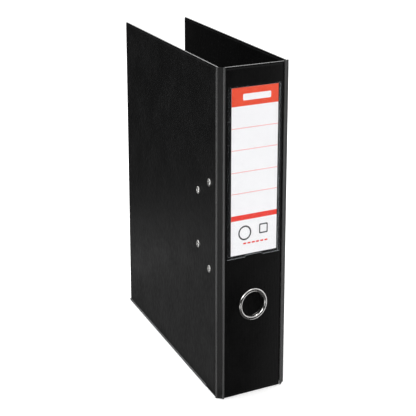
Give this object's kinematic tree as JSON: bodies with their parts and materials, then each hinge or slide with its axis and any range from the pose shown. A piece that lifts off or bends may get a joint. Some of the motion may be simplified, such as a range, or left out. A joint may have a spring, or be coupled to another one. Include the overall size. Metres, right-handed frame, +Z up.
{
  "type": "lever arch file",
  "caption": "A4 lever arch file, 75 mm spine, with finger ring, pocketed spine label, hinged covers and a two-post lever arch mechanism.",
  "frame": {"origin": "bottom centre of the whole file as it stands closed on its edge rails", "axes": "+Z up along the spine; the two covers lie parallel to the Y-Z plane, back cover at -X and front cover at +X; the spine faces -Y and leans 11 degrees out of square"},
  "size_m": [0.0756, 0.2988, 0.318],
  "materials": {
    "film": "black polypropylene film with a fine linen grain",
    "board": "grey board, hidden between the films",
    "nickel": "bright nickel plate",
    "rivet": "satin nickel plate",
    "spring_steel": "plain spring steel",
    "black_plastic": "moulded black plastic",
    "white_plastic": "natural acetal",
    "clear_film": "clear plastic film",
    "label": "printed card"
  },
  "bodies": {
    "back_cover": {"back_board": "board", "back_outer_film": "film", "back_inner_film": "film", "back_edge_rail": "nickel", "base_plate": "nickel", "upper_post": "nickel", "lower_post": "nickel", "mechanism_rivets": "rivet", "lever_pin": "nickel"},
    "leaf_spring": {"arch_spring": "spring_steel"},
    "arches": {"arch_wire": "nickel"},
    "lever": {"lever": "nickel", "lever_grip": "black_plastic", "roller_pin": "nickel"},
    "roller": {"roller": "white_plastic"},
    "compressor": {"compressor_bar": "nickel", "compressor_bushes": "black_plastic"},
    "back_strip": {"back_hinge_strip": "film"},
    "spine": {"spine_board": "board", "spine_outer_film": "film", "spine_inner_film": "film", "label_pocket": "clear_film", "label_card": "label", "finger_ring": "nickel", "finger_ring_washer": "nickel"},
    "front_strip": {"front_hinge_strip": "film"},
    "front_cover": {"front_board": "board", "front_outer_film": "film", "front_inner_film": "film", "front_edge_rail": "nickel", "upper_slot_eyelet": "nickel", "lower_slot_eyelet": "nickel"}
  },
  "joints": [
    {"name": "back_hinge", "type": "hinge", "parent": "back_cover", "child": "back_strip", "pos_m": [-0.03688, -0.14398, 0.159], "axis": [0, 0, -1], "range_deg": [0, 50.5]},
    {"name": "back_hinge_spine_side", "type": "hinge", "parent": "back_strip", "child": "spine", "pos_m": [-0.03142, -0.14848, 0.159], "axis": [0, 0, -1], "range_deg": [0, 50.5]},
    {"name": "front_hinge", "type": "hinge", "parent": "spine", "child": "front_strip", "pos_m": [0.03238, -0.13608, 0.159], "axis": [0, 0, -1], "range_deg": [0, 90]},
    {"name": "front_hinge_cover_side", "type": "hinge", "parent": "front_strip", "child": "front_cover", "pos_m": [0.03688, -0.13062, 0.159], "axis": [0, 0, -1], "range_deg": [0, 90]},
    {"name": "lever_hinge", "type": "hinge", "parent": "back_cover", "child": "lever", "pos_m": [-0.01878, -0.09998, 0.147], "axis": [0, 1, 0], "range_deg": [0, 56]},
    {"name": "arch_hinge", "type": "hinge", "parent": "back_cover", "child": "arches", "pos_m": [-0.02828, -0.11298, 0.1655], "axis": [0, 0, -1], "range_deg": [0, 28]},
    {"name": "leaf_spring_flex", "type": "hinge", "parent": "back_cover", "child": "leaf_spring", "pos_m": [-0.03248, -0.08698, 0.1565], "axis": [0, 0, 1], "range_deg": [0, 22]},
    {"name": "roller_spin", "type": "hinge", "parent": "lever", "child": "roller", "pos_m": [-0.02339, -0.09998, 0.153], "axis": [0, 1, 0], "continuous": true},
    {"name": "compressor_slide", "type": "slide", "parent": "back_cover", "child": "compressor", "axis": [1, 0, 0], "range_m": [0, 0.03]}
  ],
  "couplings": [
    {"joint": "back_hinge_spine_side", "follows": "back_hinge", "ratio": 1},
    {"joint": "front_hinge_cover_side", "follows": "front_hinge", "ratio": 1},
    {"joint": "arch_hinge", "follows": "lever_hinge", "ratio": 0.5},
    {"joint": "leaf_spring_flex", "follows": "lever_hinge", "ratio": 0.3928}
  ]
}
